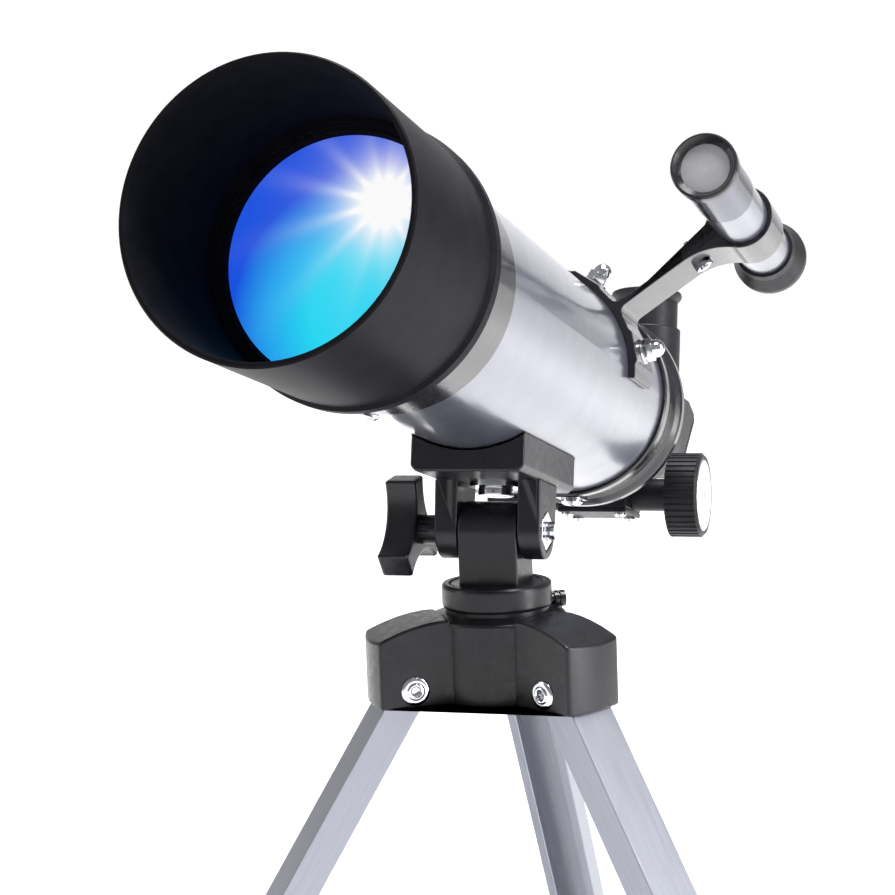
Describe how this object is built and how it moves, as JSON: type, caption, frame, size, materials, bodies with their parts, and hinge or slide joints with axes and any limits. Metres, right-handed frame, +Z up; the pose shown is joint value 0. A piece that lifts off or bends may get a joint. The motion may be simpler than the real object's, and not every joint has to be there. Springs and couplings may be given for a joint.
{
  "type": "telescope on tripod",
  "caption": "Small refracting telescope on a folding table-top tripod, with finder, focuser, mirror diagonal and eyepiece; pans, tilts and focuses.",
  "frame": {"origin": "on the floor, under the middle of the whole object's plan outline", "axes": "+Z up, +X to the finder's side, -Y the way the objective points"},
  "size_m": [0.3552, 0.4492, 0.4503],
  "materials": {
    "black_plastic": "satin moulded",
    "gloss_black": "gloss",
    "silver_tube": "satin silver paint",
    "leg_aluminium": "satin anodised, fine lengthwise grain",
    "chrome": "polished",
    "cap_silver": "satin",
    "coated_glass": "polished, blue coating",
    "mirror": "polished",
    "foot_rubber": "matte"
  },
  "bodies": {
    "stand": {"tripod_hub": "black_plastic", "leg_rivets": "chrome"},
    "front_left_leg_body": {"front_left_leg": "leg_aluminium", "front_left_foot": "foot_rubber"},
    "front_right_leg_body": {"front_right_leg": "leg_aluminium", "front_right_foot": "foot_rubber"},
    "rear_leg_body": {"rear_leg": "leg_aluminium", "rear_foot": "foot_rubber"},
    "head": {"pan_post": "black_plastic", "pan_bolt": "chrome", "pan_washer": "chrome"},
    "azimuth_lock_body": {"azimuth_lock_screw": "gloss_black"},
    "telescope": {"tube_cradle": "black_plastic", "cradle_bolt": "chrome", "cradle_washer": "chrome", "cradle_nut": "chrome", "tilt_nut": "chrome", "objective_cell": "gloss_black", "front_lens": "coated_glass", "rear_lens": "coated_glass", "lens_spacer": "gloss_black", "lens_retaining_ring": "gloss_black", "main_tube": "silver_tube", "tube_baffles": "black_plastic", "front_cell_screws": "chrome", "rear_cell": "gloss_black", "rear_cell_screws": "chrome", "focuser_body": "black_plastic", "focuser_screws": "chrome", "pinion_cover": "black_plastic", "finder_tube": "silver_tube", "finder_front_barrel": "gloss_black", "finder_lens": "coated_glass", "finder_bracket": "gloss_black", "bracket_screws": "chrome", "bracket_nuts": "chrome", "finder_clamp_screw": "chrome", "finder_clamp_nut": "chrome"},
    "tilt_knob_body": {"tilt_knob": "black_plastic", "tilt_screw": "chrome"},
    "dew_shield_body": {"dew_shield": "black_plastic"},
    "drawtube_body": {"drawtube": "chrome", "focus_rack": "black_plastic", "diagonal_holder": "black_plastic"},
    "pinion_body": {"focus_pinion": "chrome", "focus_knob_left": "black_plastic", "focus_knob_right": "black_plastic", "focus_knob_caps": "cap_silver"},
    "holder_screw_body": {"holder_thumbscrew": "chrome"},
    "diagonal_body": {"diagonal_nose": "chrome", "diagonal_housing": "black_plastic", "diagonal_mirror": "mirror", "diagonal_cover": "black_plastic"},
    "diagonal_screw_body": {"diagonal_thumbscrew": "chrome"},
    "eyepiece": {"eyepiece_barrel": "chrome", "eyepiece_body": "black_plastic", "eye_lens": "coated_glass", "field_lens": "coated_glass"},
    "finder_eyepiece_body": {"finder_eyepiece": "gloss_black", "finder_eye_lens": "coated_glass"}
  },
  "joints": [
    {"name": "front_left_leg_fold", "type": "hinge", "parent": "stand", "child": "front_left_leg_body", "pos_m": [-0.02956, -0.05003, 0.25469], "axis": [0.5225, -0.8526, 0], "range_deg": [0, 31.9]},
    {"name": "front_right_leg_fold", "type": "hinge", "parent": "stand", "child": "front_right_leg_body", "pos_m": [0.02567, -0.04858, 0.25469], "axis": [0.4772, 0.8788, 0], "range_deg": [0, 31.9]},
    {"name": "rear_leg_fold", "type": "hinge", "parent": "stand", "child": "rear_leg_body", "pos_m": [-0.00319, -0.00147, 0.25469], "axis": [-0.9997, -0.0262, 0], "range_deg": [0, 31.9]},
    {"name": "pan", "type": "hinge", "parent": "stand", "child": "head", "pos_m": [-0.00236, -0.03336, 0.28729], "axis": [0, 0, 1], "continuous": true},
    {"name": "azimuth_lock", "type": "hinge", "parent": "stand", "child": "azimuth_lock_body", "pos_m": [0.0135, -0.02364, 0.27969], "axis": [0.8526, 0.5225, 0], "continuous": true},
    {"name": "tilt", "type": "hinge", "parent": "head", "child": "telescope", "pos_m": [-0.00236, -0.03336, 0.30459], "axis": [-1, 0, 0], "range_deg": [-34, 44]},
    {"name": "tilt_knob_turn", "type": "hinge", "parent": "telescope", "child": "tilt_knob_body", "pos_m": [-0.03236, -0.03336, 0.30459], "axis": [-1, 0, 0], "continuous": true},
    {"name": "dew_shield_slide", "type": "slide", "parent": "telescope", "child": "dew_shield_body", "axis": [0, -0.9703, 0.2419], "range_m": [0, 0.01]},
    {"name": "focus", "type": "slide", "parent": "telescope", "child": "drawtube_body", "axis": [0, 0.9703, -0.2419], "range_m": [-0.008, 0.032]},
    {"name": "focus_knob_turn", "type": "hinge", "parent": "telescope", "child": "pinion_body", "pos_m": [-0.00236, 0.11192, 0.29743], "axis": [-1, 0, 0], "range_deg": [-87, 342]},
    {"name": "holder_thumbscrew_turn", "type": "hinge", "parent": "drawtube_body", "child": "holder_screw_body", "pos_m": [-0.00236, 0.17149, 0.33792], "axis": [0, 0.2419, 0.9703], "continuous": true},
    {"name": "diagonal_turn", "type": "hinge", "parent": "drawtube_body", "child": "diagonal_body", "pos_m": [-0.00236, 0.17296, 0.31488], "axis": [0, 0.9703, -0.2419], "range_deg": [-90, 90]},
    {"name": "diagonal_thumbscrew_turn", "type": "hinge", "parent": "diagonal_body", "child": "diagonal_screw_body", "pos_m": [-0.01836, 0.20272, 0.35157], "axis": [-1, 0, 0], "continuous": true},
    {"name": "eyepiece_slide", "type": "slide", "parent": "diagonal_body", "child": "eyepiece", "axis": [0, 0.2419, 0.9703], "range_m": [0, 0.018]},
    {"name": "finder_focus", "type": "slide", "parent": "telescope", "child": "finder_eyepiece_body", "axis": [0, 0.9703, -0.2419], "range_m": [0, 0.006]}
  ],
  "couplings": [
    {"joint": "focus_knob_turn", "follows": "focus", "rad_per_m": 185.19}
  ]
}
